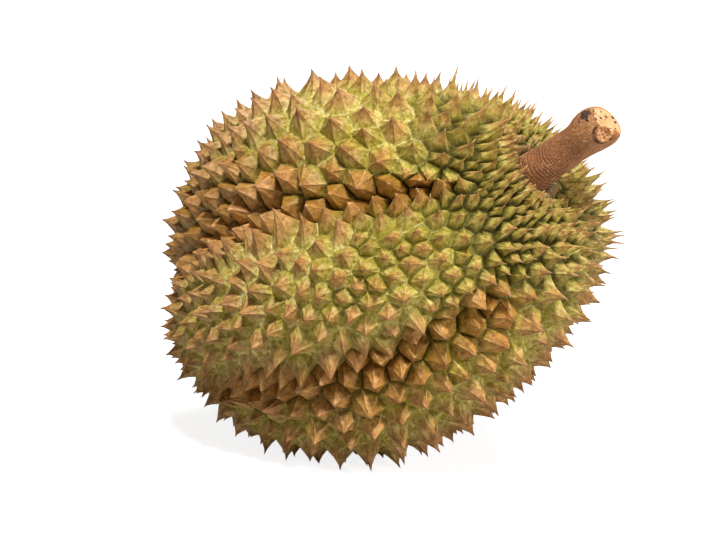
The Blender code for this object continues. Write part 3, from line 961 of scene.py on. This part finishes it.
# %% Twig stump
uneven = waves((3, 14), (60, 500), 11)
STUMP_WAY = unit(0.50 * ALONG + 0.866 * around_stalk(115))
STUMP = STALK_FOOT + 0.0448 * ALONG + 0.0076 * around_stalk(121)
FOLD_RADIUS, FOLD_WIDTH, FOLD_DEPTH = 0.0047, 0.0007, 0.00055
STUMP_GRAIN = 0.00016
surface, stump = pressed(STUMP, STUMP_WAY, inner=0.0034, outer=0.0042, raised=0.0021, dish=0.0005)
off, level = measure(STUMP, STUMP_WAY)
callus = np.exp(-((off * (1 + 0.05 * uneven) - FOLD_RADIUS) / FOLD_WIDTH) ** 2) * (level > NEAR_SIDE)
callus *= np.clip(0.85 + 0.3 * uneven, 0.3, 1.0) * (1 - smooth_step(run, 2.0, 2.05))
surface = surface - (FOLD_DEPTH * callus + STUMP_GRAIN * stump * uneven)[..., None] * STUMP_WAY
print("stump covers", int((stump > 0.5).sum()), "points")

# %% Lump and scar
LUMP_WAY = unit(0.75 * ALONG + 0.66 * around_stalk(165))
LUMP = STALK_FOOT + 0.0470 * ALONG + 0.0066 * around_stalk(166)
surface, lump = pressed(LUMP, LUMP_WAY, inner=0.0014, outer=0.0030, raised=0.0012, dish=-0.0004)

SCAR_WAY = around_stalk(40)
SCAR = STALK_FOOT + 0.0412 * ALONG + 0.0090 * around_stalk(38)
SCAR_DEPTH = 0.0008
SCAR_NEAR_SIDE = -0.004
off, level = measure(SCAR, SCAR_WAY)
scar_edge = off * (1 + 0.22 * uneven)
scar = (1 - smooth_step(scar_edge, 0.0016, 0.0032)) * (level > SCAR_NEAR_SIDE)
surface = surface - (SCAR_DEPTH * scar * (0.6 + 0.4 * np.abs(uneven)))[..., None] * SCAR_WAY
print("lump and scar cover", int((lump > 0.5).sum()), "and", int((scar > 0.5).sum()), "points")

# %% [markdown]
# The cut face is a shallow dish inside a raised rim of bark, with pores where the vessels ended.
# The pores are few and large, so each has its own place and size. They are pressed into the mesh,
# because they would look painted on if they were only dark.

# %% Cut face and pores
CUT_DEPTH, CUT_UNEVENNESS = 0.00035, 0.00005
PORE_DEPTH = 0.0009
cut = smooth_step(run, 2.06, 2.14) * (1 - stump) * (1 - lump)
rim = smooth_step(run, 1.985, 2.02) * (1 - smooth_step(run, 2.08, 2.16))
surface = surface - (CUT_DEPTH * cut + CUT_UNEVENNESS * cut * uneven)[..., None] * ALONG
# Each pore's distance from the middle of the cut, upward and sideways.
PORES = np.array([
    (0.0024, 0.0016), (0.0020, -0.0031), (0.0006, -0.0076), (-0.0019, -0.0068), (0.0068, 0.0030),
    (0.0027, 0.0062), (0.0052, -0.0024), (-0.0036, 0.0016), (-0.0050, -0.0030), (0.0008, -0.0009)])
PORE_SIZES = np.array([0.75, 0.80, 0.66, 0.72, 0.72, 0.80, 0.50, 0.42, 0.50, 0.40]) * 1e-3
face_up = (radius * inward * np.cos(turn))[..., None] - PORES[:, 0]
face_side = (radius * inward * np.sin(turn))[..., None] - PORES[:, 1]
pore = np.exp(-((face_up**2 + face_side**2) / PORE_SIZES**2) ** 1.5).max(axis=-1) * (run > 2.02)
surface = surface - (PORE_DEPTH * pore)[..., None] * ALONG
print("pores:", len(PORES), " points inside them:", int((pore > 0.5).sum()))

# %% [markdown]
# The grid of the stalk closes on itself around, and a point in the middle of the foot and one in
# the middle of the cut close its two ends. What the finish has to know is kept on the mesh again.

# %% Build the stalk
grid_numbers = np.arange(run.size).reshape(run.shape)
next_column = np.roll(grid_numbers, -1, axis=1)
first_pole, last_pole = run.size, run.size + 1
stalk_all = np.concatenate([surface.reshape(-1, 3), [STALK_FOOT, surface[-1].mean(axis=0)]])
low_fan = np.stack([np.full(COLUMNS, first_pole), grid_numbers[0], next_column[0]], axis=1)
high_fan = np.stack([np.full(COLUMNS, last_pole), next_column[-1], grid_numbers[-1]], axis=1)
stalk_quads = np.stack([grid_numbers[:-1], grid_numbers[1:], next_column[1:], next_column[:-1]], axis=-1)
stalk_quads = stalk_quads.reshape(-1, 4)
stalk = mesh_piece("woody_stalk", stalk_all, np.concatenate([low_fan, high_fan]), stalk_quads)
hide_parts("stem")
print("stalk triangles:", 2 * COLUMNS + 2 * len(stalk_quads))

# %% What the bark finish reads
def store_on_stalk(name, values):
    """Keep one number per stalk point; the two poles take the value of their neighbours."""
    store(stalk, name, np.concatenate([values.ravel(), [values[0].mean(), values[-1].mean()]]))


stalk_masks = {
    "rings": rings, "far_end": smooth_step(distance, 0.026, 0.044), "stump": stump, "callus": callus,
    "lump": lump, "scar": scar, "cut": cut, "rim": rim, "pore": pore,
}
for name, values in stalk_masks.items():
    store_on_stalk(name, values)
print("kept on the stalk:", list(stalk_masks))

# %% [markdown]
# Bark fibres run along the stalk, so the noise is read on its round shape with the length counting
# for less. The flat layout is the stalk unrolled like a label: once around is its full width.

# %% The stalk's fibres and flat layout
ACROSS_FIBRES, ALONG_FIBRES = 1000, 400
column = turn / (2 * math.pi)
per_column = 1 / COLUMNS
sheet = np.stack([column, run / 3], axis=-1)
beside = sheet + np.array([per_column, 0.0])
pole_low = np.stack([column[0] + per_column / 2, np.zeros(COLUMNS)], axis=-1)
pole_high = np.stack([column[0] + per_column / 2, np.ones(COLUMNS)], axis=-1)
low_uv = np.stack([pole_low, sheet[0], beside[0]], axis=1)
high_uv = np.stack([pole_high, beside[-1], sheet[-1]], axis=1)
quad_uv = np.stack([sheet[:-1], sheet[1:], beside[1:], beside[:-1]], axis=2)
stalk_uv = np.concatenate([low_uv.ravel(), high_uv.ravel(), quad_uv.ravel()])
stalk.data.uv_layers.new(name="OFBake").data.foreach_set("uv", stalk_uv)
around_fibres = (ACROSS_FIBRES * radius * inward)[..., None] * np.stack([np.cos(turn), np.sin(turn)], axis=-1)
bark_grain = np.concatenate([around_fibres, (ALONG_FIBRES * distance)[..., None]], axis=-1).reshape(-1, 3)
pole_grain = [[0, 0, 0], [0, 0, ALONG_FIBRES * STALK_LENGTH]]
store(stalk, "grain", np.concatenate([bark_grain, pole_grain]))
print("stalk layout covers", stalk_uv.min(), "to", stalk_uv.max())

# %% [markdown]
# Bark is brown and fibrous, the cut face is pale and weathered at its rim, the stump and the lump
# are tan, and the scar is black. Each is laid over the one before where its mask is one, the way
# coats of paint would be.

# %% Bark and wood colours
BARK_COLOURS = {
    "dark bark": (122, 60, 24), "light bark": (204, 140, 86), "mottled bark": (166, 116, 74),
    "gritty bark": (104, 50, 20), "far bark": (176, 126, 74), "dead skin": (230, 190, 142),
    "ring": (84, 40, 16), "pale wood": (226, 180, 126), "tan wood": (202, 148, 92),
    "wood fleck": (252, 230, 190), "wood grit": (178, 122, 70), "rim": (200, 136, 84),
    "pale stump": (236, 176, 116), "dark stump": (140, 78, 36), "callus": (74, 38, 16),
    "pale lump": (206, 124, 64), "dark lump": (128, 68, 30), "scar edge": (138, 72, 40),
    "ash": (104, 78, 60), "char": (30, 18, 10), "pore": (50, 26, 12),
}
BARK = {name: paint(*shades) for name, shades in BARK_COLOURS.items()}
BARK_FINENESS = 1.3
BARK_FLECK_DENSITY = 900.0


def bark_and_wood(tree, at):
    """The colour of the bark, and of the wood inside it."""
    bark = blend(tree, at.streak, BARK["dark bark"], BARK["light bark"])
    bark = blend(tree, times(tree, at.mottle, 0.4), bark, BARK["mottled bark"])
    bark = blend(tree, times(tree, at.grit, 0.5), bark, BARK["gritty bark"])
    bark = blend(tree, times(tree, named(tree, "far_end"), 0.45), bark, BARK["far bark"])
    bark = blend(tree, times(tree, at.fleck, 0.7), bark, BARK["dead skin"])
    bark = blend(tree, ramp(tree, named(tree, "rings"), 0.05, 0.6, 0.0, 0.9), bark, BARK["ring"])
    wood = blend(tree, at.mottle, BARK["pale wood"], BARK["tan wood"])
    wood = blend(tree, times(tree, at.fleck, 0.5), wood, BARK["wood fleck"])
    wood = blend(tree, times(tree, at.grit, 0.3), wood, BARK["wood grit"])
    return bark, wood


# %% Bark finish
def bark_finish():
    """Brown fibrous bark, a pale cut face with dark pores, a tan stump, a black scar."""
    material, tree, shader = new_material("durian stalk")
    at = SimpleNamespace()
    at.streak, at.fleck, at.grit, at.mottle = plant_fibre(tree, BARK_FINENESS, BARK_FLECK_DENSITY)
    bark, wood = bark_and_wood(tree, at)
    wear_and_painted_highlight = maths(tree, "ADD", named(tree, "rim"), maths(tree, "MULTIPLY_ADD", at.fleck, 0.5, -0.1))
    colour = blend(tree, ramp(tree, wear_and_painted_highlight, 0.3, 0.9, 0.0, 0.85), bark, BARK["rim"])
    # For each coat: its mask, where the mask starts and is full, how much it covers, and its colour.
    coats = [
        ("cut", 0.2, 0.8, 1.0, wood),
        ("stump", 0.4, 0.9, 1.0, blend(tree, at.grit, BARK["pale stump"], BARK["dark stump"])),
        ("callus", 0.25, 0.8, 0.95, BARK["callus"]),
        ("lump", 0.2, 0.8, 0.9, blend(tree, at.grit, BARK["pale lump"], BARK["dark lump"])),
        ("scar", 0.0, 0.15, 0.7, BARK["scar edge"]),
        ("scar", 0.15, 0.6, 0.94, blend(tree, at.grit, BARK["ash"], BARK["char"])),
        ("pore", 0.10, 0.40, 0.97, BARK["pore"])]
    for mask, start, full, cover, coat in coats:
        colour = blend(tree, ramp(tree, named(tree, mask), start, full, 0.0, cover), colour, coat)
    tree.links.new(colour, shader.inputs["Base Color"])
    tree.links.new(ramp(tree, at.streak, 0.0, 1.0, 0.62, 0.82), shader.inputs["Roughness"])
    relief = plus(tree, times(tree, at.streak, 0.8), times(tree, at.fleck, 0.4))
    add_relief(tree, shader, relief, strength=0.5, depth=0.0005)
    return material


stalk.data.materials.append(bark_finish())
print("bark finish nodes:", len(stalk.data.materials[0].node_tree.nodes))

# %% [markdown]
# The fruit lies on a plain, pale floor. Under lamps alone the far end of a floor goes grey, so this
# one also glows. Only the camera sees the glow: it sheds no light on the fruit.

# %% Floor
FLOOR_REACH = 1.7
FLOOR_GREY = (0.5, 0.5, 0.5, 1.0)
FLOOR_ROUGHNESS = 0.6
FLOOR_GLOW = 0.85
WHITE = (1.0, 1.0, 1.0, 1.0)
floor_mesh = bpy.data.meshes.new("floor")
edge_xy = np.array([[-1, -1, 0], [1, -1, 0], [1, 1, 0], [-1, 1, 0]]) * FLOOR_REACH
floor_mesh.from_pydata(edge_xy.tolist(), [], [(0, 1, 2, 3)])
floor = bpy.data.objects.new("floor", floor_mesh)
bpy.context.scene.collection.objects.link(floor)
floor_paint, tree, shader = new_material("white floor")
shader.inputs["Base Color"].default_value = FLOOR_GREY
shader.inputs["Roughness"].default_value = FLOOR_ROUGHNESS
shader.inputs["Emission Color"].default_value = WHITE
seen = put(tree, "ShaderNodeLightPath").outputs["Is Camera Ray"]
tree.links.new(maths(tree, "MULTIPLY", seen, FLOOR_GLOW), shader.inputs["Emission Strength"])
floor_mesh.materials.append(floor_paint)
print("floor, m:", 2 * FLOOR_REACH, "square")

# %% [markdown]
# Soft studio light comes from square lamps. The key light hangs above the fruit, a little in front,
# so that each thorn has a bright and a dark side. A second lamp opens the shadows on the right, and
# a weak one on the left. The last stands high behind, so that the back is not in the dark. Each
# lamp's direction is told as the camera sees it: to the right, towards the camera, and up.

# %% Lamps
VIEW_TURN = math.radians(33.7)
VIEW_RISE = math.radians(15.1)
RIGHT = np.array([math.cos(VIEW_TURN), math.sin(VIEW_TURN), 0.0])
LEVEL_BACK = np.array([math.sin(VIEW_TURN), -math.cos(VIEW_TURN), 0.0])
STRAIGHT_UP = np.array([0.0, 0.0, 1.0])
BACK = math.cos(VIEW_RISE) * LEVEL_BACK + math.sin(VIEW_RISE) * STRAIGHT_UP
UP = np.cross(BACK, RIGHT)


def soft_light(name, right, back, up, distance, size, power):
    """A square lamp that faces the fruit from a direction: size in metres, power in watts."""
    lamp = bpy.data.lights.new(name, "AREA")
    lamp.size = size
    lamp.energy = power
    thing = bpy.data.objects.new(name, lamp)
    bpy.context.scene.collection.objects.link(thing)
    direction = unit(right * RIGHT + back * BACK + up * STRAIGHT_UP)
    thing.location = MIDDLE + distance * direction
    thing.rotation_euler = Vector(direction).to_track_quat("Z", "Y").to_euler()


soft_light("key light", right=0.08, back=0.62, up=1.0, distance=2.2, size=0.35, power=61)
soft_light("right light", right=0.9, back=0.7, up=0.3, distance=2.4, size=0.5, power=29)
soft_light("left light", right=-0.9, back=0.5, up=0.6, distance=2.4, size=0.8, power=4)
soft_light("back light", right=0.5, back=-0.8, up=1.1, distance=2.4, size=0.6, power=30)
print("lamps:", [lamp.name for lamp in bpy.data.lights])

# %% [markdown]
# The room around the lamps is white to the camera, but as a light it is dim and warm, the way light
# that has bounced off walls and table is. Otherwise it would fill the creases with blue-grey.

# %% Room
ROOM_LIGHT = 0.035
ROOM_WARMTH = (1.0, 0.88, 0.66, 1.0)
world = bpy.data.worlds.new("studio")
world.use_nodes = True
room = world.node_tree
seen = put(room, "ShaderNodeLightPath").outputs["Is Camera Ray"]
room.links.new(blend(room, seen, ROOM_WARMTH, WHITE), room.nodes["Background"].inputs["Color"])
room.links.new(ramp(room, seen, 0.0, 1.0, ROOM_LIGHT, 1.0), room.nodes["Background"].inputs["Strength"])
bpy.context.scene.world = world
bpy.context.scene.view_settings.view_transform = "Standard"
print("room light:", ROOM_LIGHT)

# %% [markdown]
# The camera stands a metre away, in front and to the stalk's side, and looks a little down. A long
# lens keeps the near and the far end of the fruit in their true proportion.

# %% Camera
VIEW_DISTANCE = 0.982
LENS = 98.8
camera_data = bpy.data.cameras.new("camera")
camera_data.lens = LENS
camera_data.sensor_width = 36.0
camera_data.clip_end = 50.0
camera = bpy.data.objects.new("camera", camera_data)
bpy.context.scene.collection.objects.link(camera)
look_at = MIDDLE - 0.0096 * RIGHT + 0.0014 * UP
spot = look_at + VIEW_DISTANCE * BACK
camera.matrix_world = Matrix([[RIGHT[k], UP[k], BACK[k], spot[k]] for k in range(3)] + [[0, 0, 0, 1]])
bpy.context.scene.camera = camera
print("camera at", np.round(spot, 3))
